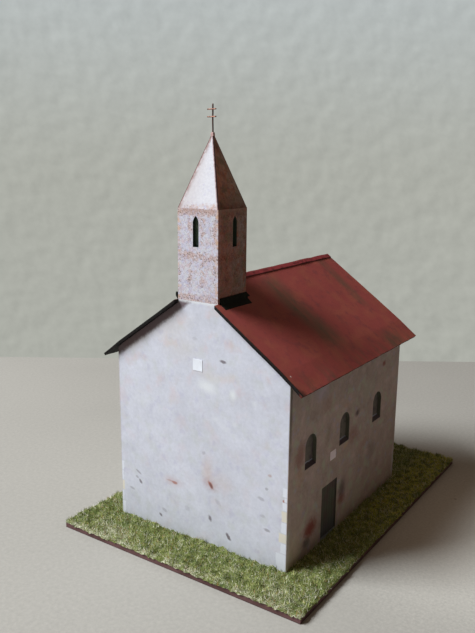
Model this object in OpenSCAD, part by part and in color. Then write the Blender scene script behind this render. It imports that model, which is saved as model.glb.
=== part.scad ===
// Card model of a small church with a gabled front and a tower, on a flocked base board.
// Millimetres, +Z up. The origin is the centre of the board's underside; the front looks to -Y.

/* [Board and turf] */
// Turf left of the church
left_margin = 12.9; // [4:0.1:30]
// Turf right of the church
right_margin = 16.1; // [4:0.1:30]
// Turf in front of the church
front_margin = 18.4; // [5:0.1:40]
// Turf behind the church
back_margin = 35.8; // [5:0.1:60]
// Thickness of the base board
board_t = 2; // [1:0.1:5]
// Thickness of the matted flock
turf_t = 0.4; // [0.3:0.1:1.5]

/* [Walls] */
// Width of the church over its walls
church_w = 76; // [60:0.5:95]
// Length of the church over its walls
church_l = 93.8; // [76:0.5:120]
// Height of the side walls above the board
wall_h = 69.3; // [55:0.1:85]
// Thickness of the wall card
wall_t = 1.5; // [1:0.1:2.5]

/* [Windows and door] */
// Width of a window
window_w = 8.2; // [5:0.1:10]
// Height of a window to the crown of its arch
window_h = 12.2; // [8:0.1:16]
// Height of the window sills above the board
sill_h = 34.4; // [28:0.1:42]
// Middle of the first window, from the front
window_front = 15.3; // [10:0.1:20]
// Middle of the last window, from the back
window_back = 21.7; // [10:0.1:26]
// Where the middle window stands between the outer two
window_share = 0.47; // [0.4:0.01:0.6]
// Thickness of the dark card behind an opening
backing_t = 1; // [0.5:0.1:2]
// How far the backing reaches past its opening
backing_lap = 1.5; // [1:0.1:2.5]
// Rise of the sloping sill
sill_rise = 1.2; // [0.5:0.1:2]
// Width of the door
door_w = 12.2; // [8:0.1:15]
// Height of the door above the board
door_h = 22.1; // [16:0.1:27]
// Middle of the door, from the front
door_front = 31.1; // [20:0.1:40]
// How far the door lies back in its opening
door_set = 0.4; // [0.2:0.1:0.8]
// Height of the threshold strip above the board
threshold_h = 1.5; // [1:0.1:3]

/* [Roof] */
// Pitch of the roof in degrees
roof_pitch = 35.2; // [28:0.1:44]
// Pitch of the drooped eaves in degrees
eave_pitch = 38; // [32:0.1:48]
// Width of the drooped strip, measured level
droop_w = 7.2; // [6.5:0.1:12]
// Eaves beyond the side walls
eave_over = 5; // [3:0.1:6.4]
// Verge beyond the front wall
verge_front = 2.2; // [1:0.1:5]
// Verge beyond the back wall
verge_back = 3.2; // [1:0.1:5]
// Upright thickness of the roof's core card
core_t = 1; // [0.6:0.1:2]
// Upright thickness of the roof's paper
paper_t = 0.2; // [0.15:0.05:0.6]
// Half width of the ridge strip
ridge_half = 1.7; // [1:0.1:4]
// Upright thickness of the ridge strip
ridge_t = 0.35; // [0.2:0.05:0.8]

/* [Tower] */
// Width and depth of the tower
tower_w = 17.2; // [14:0.1:22]
// Thickness of the tower card
tower_t = 1.5; // [1:0.1:2.5]
// Tower walls above the ridge
tower_h = 25.8; // [20:0.1:32]
// Width of a lancet
lancet_w = 2.5; // [1.5:0.1:4]
// Height of a lancet
lancet_h = 10.6; // [8:0.1:12]
// Height of the pointed head of a lancet
lancet_point = 2.5; // [1:0.1:4]
// Lancet sills above the ridge
lancet_sill = 12.8; // [6:0.1:14]
// Front and back lancets off the middle, to the left
lancet_left = 0.8; // [0:0.1:2]
// Side lancets off the middle, to the back
lancet_back = 1.2; // [0:0.1:2]
// Thickness of the dark lining in the tower
lining_t = 0.5; // [0.3:0.1:1]
// Flashing up the tower walls
flashing_h = 1.9; // [1:0.1:4]
// Flashing out over the roof
flashing_w = 2.65; // [1.5:0.05:4]
// Thickness of the flashing
flashing_t = 0.4; // [0.2:0.05:0.6]
// Bare strip of the tower's side in front of the flashing
flashing_start = 1; // [0:0.1:3]

/* [Spire and cross] */
// Height of the full spire above the tower walls
spire_h = 25.6; // [18:0.1:36]
// Thickness of the spire card
spire_t = 0.8; // [0.5:0.1:1.2]
// Half of the open seam at the spire's corners
seam_half = 0.12; // [0.05:0.01:0.3]
// Height of the tip, from the spire's cut point
tip_h = 2; // [1.8:0.1:4]
// How far the spire is cut back for its tip
tip_cut = 1.6; // [1:0.1:1.7]
// Diameter of the cross's wire
wire_d = 0.6; // [0.4:0.05:1]
// Top of the cross above the spire's full height
cross_h = 9; // [6:0.1:14]
// Length of each arm
arm_l = 3.6; // [2:0.1:6]
// Upper arm below the top of the cross
arm_drop = 1.8; // [1:0.1:3]
// Distance between the two arms
arm_gap = 2.45; // [1:0.05:3]

/* [Paper patches] */
// Width of the front patch
front_patch_w = 4.1; // [2:0.1:8]
// Height of the front patch
front_patch_h = 4.2; // [2:0.1:8]
// Middle of the front patch above the board
front_patch_z = 68.6; // [60:0.1:75]
// Width of the side patch
side_patch_w = 4.4; // [2:0.1:6]
// Height of the side patch
side_patch_h = 3.4; // [2:0.1:6]
// Middle of the side patch above the board
side_patch_z = 32.7; // [26:0.1:40]
// Side patch in front of the middle window, middle to middle
side_patch_gap = 9.2; // [8:0.1:12]
// Thickness of the patches
patch_t = 0.2; // [0.1:0.05:0.5]

/* [Hidden] */
$fn = 48;

// A little more than nothing, for cuts that must run out of a face
clear = 1;
// Gap between the arms of the cross and the upright they are glued to
wire_gap = 0.02;

// Board
board_w = left_margin + church_w + right_margin;
board_d = front_margin + church_l + back_margin;
church_x = (left_margin - right_margin) / 2;
church_y = front_margin - board_d / 2;

// Walls and the underside of the roof, measured from the middle of the front wall
half_w = church_w / 2;
wall_top = board_t + wall_h;
eave_x = half_w + eave_over;
kink_x = eave_x - droop_w;
eave_z = wall_top - eave_over * tan(eave_pitch);
kink_z = wall_top + (half_w - kink_x) * tan(eave_pitch);
ridge_z = kink_z + kink_x * tan(roof_pitch);
roof_t = core_t + paper_t;
ridge_top = ridge_z + roof_t;
function under_roof(x) = ridge_z - x * tan(roof_pitch);
function over_roof(x) = under_roof(x) + roof_t;

// Windows
window_last = church_l - window_back;
window_mid = window_front + window_share * (window_last - window_front);
window_y = [window_front, window_mid, window_last];
sill_z = board_t + sill_h;

// Tower and spire
tower_half = tower_w / 2;
tower_in = tower_half - tower_t;
tower_foot = over_roof(tower_half);
tower_top = ridge_top + tower_h;
lancet_z = ridge_top + lancet_sill;
lining_z = lancet_z - backing_lap;
spire_tan = spire_h / tower_half;
spire_top = tower_top + spire_h;
tip_z = spire_top - tip_cut;
cross_top = spire_top + cross_h;

// Sets a piece of the church in its place on the board
module at_church() {
    translate([church_x, church_y, 0]) children();
}

// Stands an outline drawn in X and Z between two distances from the front
module along_y(from, to) {
    translate([0, to, 0]) rotate([90, 0, 0]) linear_extrude(to - from) children();
}

// Stands an outline drawn in Y and Z between two distances from the middle line
module along_x(from, to) {
    translate([from, 0, 0]) rotate([90, 0, 90]) linear_extrude(to - from) children();
}

// Round-headed opening that stands on its sill
module round_arch(w, h) {
    translate([-w / 2, 0]) square([w, h - w / 2]);
    translate([0, h - w / 2]) circle(d = w);
}

// Narrow opening with a pointed head of two arcs
module lancet() {
    spring = lancet_h - lancet_point;
    half = lancet_w / 2;
    arc = (half * half + lancet_point * lancet_point) / lancet_w;
    translate([-half, 0]) square([lancet_w, spring]);
    translate([0, spring]) intersection() {
        translate([half - arc, 0]) circle(arc);
        translate([arc - half, 0]) circle(arc);
        translate([-half, -half]) square([lancet_w, lancet_point + lancet_w]);
    }
}

// Card slab with its low corner and its size
module slab(corner, size) {
    translate(corner) cube(size);
}

// ---- Board and turf ----

module base_board() {
    color([0.42, 0.28, 0.26]) slab([-board_w / 2, -board_d / 2, 0], [board_w, board_d, board_t]);
}

// One rectangle of turf, from its low corner on the board
module turf(x, y, w, d) {
    color([0.42, 0.42, 0.22]) slab([x, y, board_t], [w, d, turf_t]);
}

module turf_front() {
    turf(-board_w / 2, -board_d / 2, board_w, front_margin);
}

module turf_back() {
    turf(-board_w / 2, church_y + church_l, board_w, back_margin);
}

module turf_left() {
    turf(-board_w / 2, church_y, left_margin, church_l);
}

module turf_right() {
    turf(church_x + half_w, church_y, right_margin, church_l);
}

// ---- Walls ----

// Gable outline, up to the underside of the roof
module gable() {
    polygon([
        [-half_w, board_t], [half_w, board_t], [half_w, wall_top], [kink_x, kink_z],
        [0, ridge_z], [-kink_x, kink_z], [-half_w, wall_top]
    ]);
}

// The front runs up between the roof slopes to the foot of the tower
module front_wall() {
    shoulder = under_roof(tower_half);
    color([0.80, 0.80, 0.84]) at_church() along_y(0, wall_t)
        polygon([
            [-half_w, board_t], [half_w, board_t], [half_w, wall_top], [kink_x, kink_z],
            [tower_half, shoulder], [tower_half, tower_foot],
            [-tower_half, tower_foot], [-tower_half, shoulder],
            [-kink_x, kink_z], [-half_w, wall_top]
        ]);
}

module back_wall() {
    color([0.78, 0.78, 0.80]) at_church() along_y(church_l - wall_t, church_l) gable();
}

// Right-hand side wall with its three windows and, where asked, the door
module side_wall(with_door) {
    difference() {
        along_y(wall_t, church_l - wall_t) intersection() {
            gable();
            translate([half_w - wall_t, 0]) square([wall_t, wall_top + church_w]);
        }
        for (y = window_y) {
            along_x(half_w - wall_t - clear, half_w + clear)
                translate([y, sill_z]) round_arch(window_w, window_h);
        }
        if (with_door) {
            slab(
                [half_w - wall_t - clear, door_front - door_w / 2, board_t - clear],
                [wall_t + 2 * clear, door_w, door_h + clear]
            );
        }
    }
}

module left_wall() {
    color([0.78, 0.78, 0.82]) at_church() mirror([1, 0, 0]) side_wall(false);
}

module right_wall() {
    color([0.62, 0.57, 0.53]) at_church() side_wall(true);
}

// ---- Windows and door ----

// Dark backing card behind a window of the right wall, with its sloping sill
module window(number) {
    inner = half_w - wall_t;
    translate([0, window_y[number - 1], sill_z]) {
        slab(
            [inner - backing_t, -window_w / 2 - backing_lap, -backing_lap],
            [backing_t, window_w + 2 * backing_lap, window_h + 2 * backing_lap]
        );
        along_y(-window_w / 2, window_w / 2)
            polygon([[inner, 0], [half_w, 0], [inner, sill_rise]]);
    }
}

module right_window(number) {
    color([0.16, 0.15, 0.14]) at_church() window(number);
}

module left_window(number) {
    color([0.16, 0.15, 0.14]) at_church() mirror([1, 0, 0]) window(number);
}

module door_panel() {
    color([0.17, 0.18, 0.17]) at_church()
        slab(
            [half_w - wall_t, door_front - door_w / 2, board_t],
            [wall_t - door_set, door_w, door_h]
        );
}

module door_threshold() {
    color([0.45, 0.48, 0.50]) at_church()
        slab(
            [half_w - door_set, door_front - door_w / 2, board_t],
            [door_set, door_w, threshold_h]
        );
}

// ---- Roof ----

// Right-hand layer of the roof between two heights over its underside
module roof_layer(low, high) {
    run = sin(eave_pitch) * cos(eave_pitch);
    rise = cos(eave_pitch) * cos(eave_pitch);
    difference() {
        along_y(-verge_front, church_l + verge_back)
            polygon([
                [0, ridge_z + low], [kink_x, kink_z + low],
                [eave_x + low * run, eave_z + low * rise],
                [eave_x + high * run, eave_z + high * rise],
                [kink_x, kink_z + high], [0, ridge_z + high]
            ]);
        // The front wall and the tower stand in this notch
        slab(
            [-clear, -verge_front - clear, tower_foot - roof_t - clear],
            [tower_half + clear, verge_front + clear + max(wall_t, tower_t), church_w]
        );
    }
}

module roof_core_right() {
    color([0.13, 0.14, 0.12]) at_church() roof_layer(0, core_t);
}

module roof_core_left() {
    color([0.13, 0.14, 0.12]) at_church() mirror([1, 0, 0]) roof_layer(0, core_t);
}

module roof_paper_right() {
    color([0.50, 0.21, 0.18]) at_church() roof_layer(core_t, roof_t);
}

module roof_paper_left() {
    color([0.50, 0.21, 0.18]) at_church() mirror([1, 0, 0]) roof_layer(core_t, roof_t);
}

// Folded outline that lies on both slopes
module saddle(half, thick) {
    polygon([
        [-half, over_roof(half)], [0, ridge_top], [half, over_roof(half)],
        [half, over_roof(half) + thick], [0, ridge_top + thick],
        [-half, over_roof(half) + thick]
    ]);
}

module ridge_strip() {
    color([0.53, 0.17, 0.17]) at_church()
        along_y(tower_w + flashing_w, church_l + verge_back) saddle(ridge_half, ridge_t);
}

// ---- Tower ----

module tower_front() {
    color([0.84, 0.80, 0.82]) at_church() along_y(0, tower_t) difference() {
        translate([-tower_half, tower_foot]) square([tower_w, tower_top - tower_foot]);
        translate([-lancet_left, lancet_z]) lancet();
    }
}

// The back stands between the sides, cut to the ridge at its foot
module tower_back() {
    color([0.74, 0.70, 0.70]) at_church() along_y(tower_w - tower_t, tower_w) difference() {
        polygon([
            [-tower_in, over_roof(tower_in)], [0, ridge_top], [tower_in, over_roof(tower_in)],
            [tower_in, tower_top], [-tower_in, tower_top]
        ]);
        translate([-lancet_left, lancet_z]) lancet();
    }
}

// Right-hand side of the tower, standing on the roof
module tower_side() {
    difference() {
        along_y(tower_t, tower_w) polygon([
            [tower_in, over_roof(tower_in)], [tower_half, over_roof(tower_half)],
            [tower_half, tower_top], [tower_in, tower_top]
        ]);
        along_x(tower_in - clear, tower_half + clear)
            translate([tower_half + lancet_back, lancet_z]) lancet();
    }
}

module tower_left() {
    color([0.80, 0.76, 0.78]) at_church() mirror([1, 0, 0]) tower_side();
}

module tower_right() {
    color([0.52, 0.42, 0.36]) at_church() tower_side();
}

// Dark lining that closes the lancets from inside
module tower_lining() {
    inner = tower_in - lining_t;
    color([0.10, 0.11, 0.10]) at_church() translate([0, tower_half, lining_z]) difference() {
        linear_extrude(tower_top - lining_z) square(2 * tower_in, center = true);
        translate([0, 0, -clear])
            linear_extrude(tower_top - lining_z + 2 * clear) square(2 * inner, center = true);
    }
}

// Right-hand flashing: a steep upstand on the tower and a flange on the roof
module flashing_side() {
    out = tower_half + flashing_w;
    fold = tower_half + flashing_w / 3;
    along_y(flashing_start, tower_w) polygon([
        [tower_half, over_roof(tower_half)], [tower_half, over_roof(tower_half) + flashing_h],
        [tower_half + flashing_t, over_roof(tower_half) + flashing_h],
        [fold, over_roof(fold) + flashing_t], [out, over_roof(out) + flashing_t / 2],
        [out, over_roof(out)]
    ]);
}

module flashing_left() {
    color([0.07, 0.09, 0.06]) at_church() mirror([1, 0, 0]) flashing_side();
}

module flashing_right() {
    color([0.07, 0.09, 0.06]) at_church() flashing_side();
}

// Back flashing, folded over the ridge
module flashing_back() {
    color([0.07, 0.09, 0.06]) at_church() {
        along_y(tower_w, tower_w + flashing_t) saddle(tower_half, flashing_h);
        along_y(tower_w, tower_w + flashing_w) saddle(tower_half, flashing_t / 2);
    }
}

// ---- Spire and cross ----

// One sloping face of the spire, mitred to leave an open seam at each corner
module spire_face(turn) {
    inset = spire_t / sin(atan(spire_tan));
    inner = tower_half - inset;
    color([0.82, 0.77, 0.78]) at_church() translate([0, tower_half, tower_top])
        rotate([0, 0, turn]) difference() {
            polyhedron(
                points = [
                    [-tower_half + seam_half, -tower_half, 0],
                    [tower_half - seam_half, -tower_half, 0],
                    [inner - seam_half, -inner, 0],
                    [-inner + seam_half, -inner, 0],
                    [0, -seam_half, (tower_half - seam_half) * spire_tan],
                    [0, -seam_half, (inner - seam_half) * spire_tan]
                ],
                faces = [[0, 1, 2, 3], [0, 4, 1], [1, 4, 5, 2], [2, 5, 3], [3, 5, 4, 0]]
            );
            slab(
                [-tower_w / 2, -tower_w, spire_h - tip_cut],
                [tower_w, 2 * tower_w, spire_h]
            );
        }
}

module spire_front() {
    spire_face(0);
}

module spire_right() {
    spire_face(90);
}

module spire_back() {
    spire_face(180);
}

module spire_left() {
    spire_face(270);
}

module spire_tip() {
    foot = 2 * tip_cut / spire_tan;
    color([0.85, 0.82, 0.78]) at_church() translate([0, tower_half, tip_z])
        linear_extrude(tip_h, scale = wire_d / foot) square(foot, center = true);
}

module cross_upright() {
    foot = tip_z + tip_h;
    color([0.40, 0.26, 0.20]) at_church() translate([0, tower_half, foot])
        cylinder(d = wire_d, h = cross_top - foot);
}

// One arm of the cross, glued across the front of the upright
module cross_arm(drop) {
    color([0.46, 0.28, 0.20]) at_church()
        translate([-arm_l / 2, tower_half - wire_d - wire_gap, cross_top - drop])
            rotate([0, 90, 0]) cylinder(d = wire_d, h = arm_l);
}

module cross_arm_upper() {
    cross_arm(arm_drop);
}

module cross_arm_lower() {
    cross_arm(arm_drop + arm_gap);
}

// ---- Paper patches ----

module paper_patch_front() {
    color("white") at_church()
        slab(
            [-front_patch_w / 2, -patch_t, board_t + front_patch_z - front_patch_h / 2],
            [front_patch_w, patch_t, front_patch_h]
        );
}

module paper_patch_right() {
    color("white") at_church()
        slab(
            [half_w, window_mid - side_patch_gap - side_patch_w / 2,
             board_t + side_patch_z - side_patch_h / 2],
            [patch_t, side_patch_w, side_patch_h]
        );
}

base_board();
turf_front();
turf_back();
turf_left();
turf_right();
front_wall();
back_wall();
left_wall();
right_wall();
left_window(1);  // left_window_1
left_window(2);  // left_window_2
left_window(3);  // left_window_3
right_window(1);  // right_window_1
right_window(2);  // right_window_2
right_window(3);  // right_window_3
door_panel();
door_threshold();
roof_core_left();
roof_core_right();
roof_paper_left();
roof_paper_right();
ridge_strip();
tower_front();
tower_back();
tower_left();
tower_right();
tower_lining();
flashing_left();
flashing_right();
flashing_back();
spire_front();
spire_back();
spire_left();
spire_right();
spire_tip();
cross_upright();
cross_arm_upper();
cross_arm_lower();
paper_patch_front();
paper_patch_right();
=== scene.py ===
"""Finishes for a card model of a small church: printed paper, painted board, static grass and wire."""

import math
from functools import partial

import bmesh
import bpy
from bpy.props import FloatProperty, FloatVectorProperty, IntProperty, PointerProperty
from mathutils import Matrix, Vector, noise


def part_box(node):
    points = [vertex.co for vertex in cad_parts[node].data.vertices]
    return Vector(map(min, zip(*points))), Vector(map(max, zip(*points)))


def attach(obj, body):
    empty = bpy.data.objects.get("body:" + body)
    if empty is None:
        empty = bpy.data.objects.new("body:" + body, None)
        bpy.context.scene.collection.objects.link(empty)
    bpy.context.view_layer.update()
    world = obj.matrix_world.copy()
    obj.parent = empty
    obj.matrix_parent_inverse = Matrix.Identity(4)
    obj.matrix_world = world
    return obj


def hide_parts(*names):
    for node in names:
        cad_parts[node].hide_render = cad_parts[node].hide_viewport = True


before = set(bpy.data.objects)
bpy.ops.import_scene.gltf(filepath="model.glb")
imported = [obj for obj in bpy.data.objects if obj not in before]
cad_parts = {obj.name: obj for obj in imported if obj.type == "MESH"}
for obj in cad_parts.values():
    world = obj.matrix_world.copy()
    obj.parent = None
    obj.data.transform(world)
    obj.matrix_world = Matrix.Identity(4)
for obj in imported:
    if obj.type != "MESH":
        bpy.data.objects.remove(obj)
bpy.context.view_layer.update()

bl_info = {
    "name": "Card Church Finishes",
    "version": (1, 0, 0),
    "blender": (4, 5, 0),
    "location": "View3D > Sidebar > Card Church",
    "description": "Printed paper, painted board, static grass and wire for a card model of a church",
    "category": "Object",
}

MM = 0.001
BODY = "root"


def screen_colour(red, green, blue):
    """Linear colour of a screen colour that is given from 0 to 255."""
    parts = [part / 255 for part in (red, green, blue)]
    return tuple(p / 12.92 if p <= 0.04045 else ((p + 0.055) / 1.055) ** 2.4 for p in parts)


# ---- Places, read from the frame, in millimetres ----


def box(node):
    """Lowest and highest corner of a node, in millimetres."""
    return [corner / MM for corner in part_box(node)]


FRONT_LOW, FRONT_HIGH = box("front_wall")
TOWER_LOW, TOWER_HIGH = box("tower_front")
CHURCH_X = (FRONT_LOW.x + FRONT_HIGH.x) / 2
CHURCH_Y = FRONT_LOW.y
CHURCH_END, GABLE_TOP = box("back_wall")[1].yz
HALF_W = (FRONT_HIGH.x - FRONT_LOW.x) / 2
TOWER_HALF = (TOWER_HIGH.x - TOWER_LOW.x) / 2
TOWER_Y = (CHURCH_Y + box("tower_back")[1].y) / 2
TIP_FOOT = box("spire_tip")[0].z
ROOF_FRONT = box("roof_paper_right")[0].y
ROOF_SLOPE = 0.7054  # rise for each millimetre across
SAME_PLACE = 0.01  # how far apart two points may be and still count as one


# ---- Sizes and colours that a user may change ----


def tint(name, description, red, green, blue):
    """Colour setting whose default is given as a screen colour."""
    return FloatVectorProperty(
        name=name,
        description=description,
        subtype="COLOR",
        size=3,
        min=0,
        max=1,
        default=screen_colour(red, green, blue),
    )


def length(name, description, millimetres):
    """Length setting whose default is given in millimetres."""
    return FloatProperty(
        name=name,
        description=description,
        subtype="DISTANCE",
        unit="LENGTH",
        default=millimetres * MM,
        min=0,
        precision=5,
    )


class TurfSettings(bpy.types.PropertyGroup):
    """Static grass on the board."""

    lump_height: length("Lump height", "Height of the lumps in the matted flock", 1.3)
    fibre_length: length("Fibre length", "Length of the longest fibres", 1.7)
    fibre_width: length("Fibre width", "Width of a fibre at its foot", 0.22)
    fibre_bend: length("Bend", "How far a fibre's tip leans over", 0.4)
    fibres_per_mm2: FloatProperty(
        name="Fibres per mm2", description="How thickly the fibres stand", default=5.2, min=0.1
    )
    lean_least: FloatProperty(
        name="Least lean",
        description="Smallest angle of a fibre from upright",
        subtype="ANGLE",
        default=math.radians(20),
    )
    lean_most: FloatProperty(
        name="Most lean",
        description="Largest angle of a fibre from upright",
        subtype="ANGLE",
        default=math.radians(86),
    )
    seed: IntProperty(name="Seed", description="Seed of the scattered fibres", default=7)
    grass: tint("Grass", "Colour of most fibres", 164, 174, 104)
    grass_light: tint("Light grass", "Colour of the brightest clumps", 202, 204, 134)
    grass_dark: tint("Dark grass", "Colour of the darkest fibres", 92, 106, 54)
    straw: tint("Straw", "Colour of the pale fibres", 240, 235, 212)
    soil: tint("Soil", "Colour of the matted flock under the fibres", 126, 134, 78)


class PaperSettings(bpy.types.PropertyGroup):
    """Printed papers of the walls and the tower."""

    plaster: tint("Plaster", "Pale printed plaster", 210, 211, 221)
    plaster_left: tint("Left plaster", "Plaster of the left wall", 206, 202, 206)
    # Painted shade: the right wall's plaster is darker and warmer than the front's.
    plaster_right: tint("Right plaster", "Warmer plaster of the right wall", 184, 163, 154)
    quoin: tint("Quoins", "Pale printed corner stones", 228, 230, 238)
    quoin_cream: tint("Cream quoins", "Yellowish printed corner stones", 226, 218, 200)
    stone: tint("Tower stone", "Pale stone of the tower", 204, 203, 220)
    peach: tint("Peach", "Warm stone of the tower", 208, 180, 172)
    ochre: tint("Ochre", "Ochre stains", 206, 164, 132)
    rust: tint("Rust", "Rust marks in the plaster", 166, 98, 74)
    brick: tint("Brick", "Bare brick in the side walls", 142, 66, 56)
    mark: tint("Bare stone", "Dark bare stones in the plaster", 92, 76, 80)
    cream: tint("Cream", "Cream stains in the plaster", 222, 208, 188)
    white: tint("White", "White patches in the plaster", 232, 234, 236)
    blush: tint("Blush", "Pink clouds in the plaster", 216, 190, 190)
    moss: tint("Moss", "Greenish clouds in the plaster", 186, 192, 168)
    lilac: tint("Lilac", "Lilac clouds in the plaster", 178, 174, 204)
    # Partly print, partly painted shade: tints that darken and brown the tower's side faces.
    rust_print: tint("Rust print", "Tint of the tower's side towards the front", 210, 144, 118)
    olive_print: tint("Olive print", "Tint of the tower's side towards the back", 199, 174, 154)
    shade_card: tint("Dark card", "Card behind the openings", 112, 104, 96)
    olive: tint("Olive", "Olive patches on the tower's sides", 122, 112, 84)
    reveal: tint("Reveals", "Cut card inside the openings", 98, 98, 84)
    dark_reveal: tint("Dark reveals", "Painted card inside the lancets", 60, 72, 60)
    bare: tint("Bare paper", "Unprinted white paper", 240, 243, 250)


class RoofSettings(bpy.types.PropertyGroup):
    """Painted paper of the roof."""

    red: tint("Roof red", "Main colour of the roof paper", 160, 73, 67)
    orange: tint("Roof orange", "Warm mottling of the roof paper", 164, 85, 69)
    crimson: tint("Roof crimson", "Deep mottling of the roof paper", 150, 63, 67)
    soot: tint("Soot", "Dark streaks on the roof", 98, 82, 62)
    edge: tint("Roof edge", "Dark painted edge of the roof card", 17, 15, 13)
    ridge: tint("Ridge", "Strip along the ridge", 158, 58, 62)
    flashing: tint("Flashing", "Strips at the foot of the tower", 18, 22, 16)


class StageSettings(bpy.types.PropertyGroup):
    """Floor, background and light."""

    floor: tint("Floor", "Pale floor", 175, 171, 162)
    wall: tint("Background", "Pale background", 172, 174, 166)
    key_power: FloatProperty(name="Key", description="Power of the soft key light", default=28.8)
    sky_colour: tint("Ambient colour", "Colour of the light all round", 255, 226, 202)
    sky: FloatProperty(name="Ambient", description="Strength of the light all round", default=0.096)


# ---- Shader expressions ----


def maths(how, turned=False):
    """A method that adds a Math node, with its two values turned round if need be."""

    def method(self, *others):
        values = (self, *others)
        return self.paint.math(how, *(reversed(values) if turned else values))

    return method


class Value:
    """A number or colour from a shader node, used in Python expressions."""

    def __init__(self, paint, socket):
        self.paint = paint
        self.socket = socket

    __add__ = __radd__ = maths("ADD")
    __mul__ = __rmul__ = maths("MULTIPLY")
    __sub__ = maths("SUBTRACT")
    __rsub__ = maths("SUBTRACT", turned=True)
    __truediv__ = maths("DIVIDE")
    __rtruediv__ = maths("DIVIDE", turned=True)
    abs = maths("ABSOLUTE")
    fract = maths("FRACT")
    least = maths("MINIMUM")
    most = maths("MAXIMUM")
    # 1 where the value is over a level, or under it, and 0 elsewhere
    above = maths("GREATER_THAN")
    below = maths("LESS_THAN")

    def fade(self, low, high):
        """Smooth step from 0 at the first level to 1 at the second, which may be the lower one."""
        return self.paint.node(
            "ShaderNodeMapRange",
            {"interpolation_type": "SMOOTHSTEP"},
            {"Value": self, "From Min": low, "From Max": high},
        )


class Shade:
    """Shader expressions in a node tree, over coordinates in millimetres."""

    def __init__(self, tree, coordinates, scale):
        self.tree = tree
        self.tree.nodes.clear()
        place = self.node("ShaderNodeTexCoord", {}, {}, coordinates)
        self.place = self.vector("SCALE", place, Scale=scale)
        self.x, self.y, self.z = self.split(self.place)
        self.ragged = self.wander(0.9, 0.9, 2)

    def node(self, kind, settings, inputs, output=0):
        """Adds any node: its settings first, then its inputs by name or number."""
        made = self.tree.nodes.new(kind)
        for name, value in settings.items():
            setattr(made, name, value)
        for name, value in inputs.items():
            self.feed(made.inputs[name], value)
        return Value(self, made.outputs[output])

    def feed(self, socket, value):
        """Links a value to a socket, or sets it. A tuple for a colour is a screen colour."""
        if isinstance(value, Value):
            self.tree.links.new(value.socket, socket)
        elif socket.type == "RGBA":
            linear = screen_colour(*value) if isinstance(value, tuple) else value
            socket.default_value = (*linear, 1)
        else:
            socket.default_value = value

    def math(self, how, *values):
        return self.node("ShaderNodeMath", {"operation": how}, dict(enumerate(values)))

    def vector(self, how, first, second=None, **inputs):
        """A Vector Math node on one or two vectors."""
        inputs = {0: first, **inputs}
        if second is not None:
            inputs[1] = second
        return self.node("ShaderNodeVectorMath", {"operation": how}, inputs)

    def split(self, vector):
        """The three numbers of a vector."""
        made = self.tree.nodes.new("ShaderNodeSeparateXYZ")
        self.feed(made.inputs[0], vector)
        return [Value(self, socket) for socket in made.outputs]

    def join(self, x, y, z):
        return self.node("ShaderNodeCombineXYZ", {}, {0: x, 1: y, 2: z})

    def noise(self, size, detail=2.0, where=None, rough=0.5, shift=0.0):
        """Noise from about 0.2 to 0.8 whose blotches are about the given size in millimetres."""
        inputs = {"Vector": where or self.place, "Scale": 1 / size, "Detail": detail}
        inputs.update({"Roughness": rough, "W": shift})
        return self.node("ShaderNodeTexNoise", {"noise_dimensions": "4D"}, inputs, "Fac")

    def wander(self, reach, size, detail=2.0, **settings):
        """Noise about 0 that is a given number of times as strong."""
        return (self.noise(size, detail, **settings) - 0.5) * reach

    def cells(self, size, output="Distance", feature="F1"):
        """Voronoi cells of about the given size in millimetres."""
        inputs = {"Vector": self.place, "Scale": 1 / size}
        return self.node("ShaderNodeTexVoronoi", {"feature": feature}, inputs, output)

    def mix(self, first, second, amount):
        """Colour that goes from the first to the second as the amount goes from 0 to 1."""
        made = self.tree.nodes.new("ShaderNodeMix")
        made.data_type = "RGBA"
        made.clamp_factor = True
        self.feed(made.inputs[0], amount)
        self.feed(made.inputs[6], first)
        self.feed(made.inputs[7], second)
        return Value(self, made.outputs[2])

    def tone(self, colour, amount):
        """Colour made lighter or darker: an amount of 1 leaves it as it is."""
        return self.vector("SCALE", colour, Scale=amount)

    def spot(self, across, up, middle, size, turn, blur=0.35):
        """1 inside a ragged ellipse, fading to 0. Lengths are in millimetres, the turn in degrees."""
        cosine, sine = math.cos(math.radians(turn)), math.sin(math.radians(turn))
        run = (across - middle[0]) * cosine + (up - middle[1]) * sine
        rise = (up - middle[1]) * cosine - (across - middle[0]) * sine
        run, rise = run / (size[0] / 2), rise / (size[1] / 2)
        reach = self.math("SQRT", run * run + rise * rise) + self.ragged
        return reach.fade(1 + blur, 1 - blur)


class Paint(Shade):
    """A material whose colour is laid on in coats, over Object coordinates."""

    def __init__(self, name, colour=None):
        self.material = bpy.data.materials.new(name)
        self.material.use_nodes = True
        super().__init__(self.material.node_tree, "Object", 1 / MM)
        self.colour = colour
        self.across = self.x - CHURCH_X
        self.along = self.y - CHURCH_Y
        self.shader = self.tree.nodes.new("ShaderNodeBsdfPrincipled")
        output = self.tree.nodes.new("ShaderNodeOutputMaterial")
        self.tree.links.new(self.shader.outputs["BSDF"], output.inputs["Surface"])

    def over(self, colour, amount):
        """Lays a colour over what is there, as far as the amount goes from 0 to 1."""
        self.colour = self.mix(self.colour, colour, amount)

    def blots(self, colour, size, detail, low, high, strength=1.0, **settings):
        """Lays a colour over in soft blots of noise, which start and end at two of its levels."""
        self.over(colour, self.noise(size, detail, **settings).fade(low, high) * strength)

    def dim(self, amount):
        """Makes what is there lighter or darker."""
        self.colour = self.tone(self.colour, amount)

    def finish(self, roughness, height=None, depth=0.05, **settings):
        """Feeds the shader. The depth of the relief is in millimetres; settings are plain numbers."""
        self.feed(self.shader.inputs["Base Color"], self.colour)
        self.feed(self.shader.inputs["Roughness"], roughness)
        if height is not None:
            bump = {"Strength": 1.0, "Distance": depth * MM, "Height": height}
            self.feed(self.shader.inputs["Normal"], self.node("ShaderNodeBump", {}, bump))
        for name, value in settings.items():
            self.shader.inputs[name.replace("_", " ")].default_value = value
        return self.material


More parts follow.
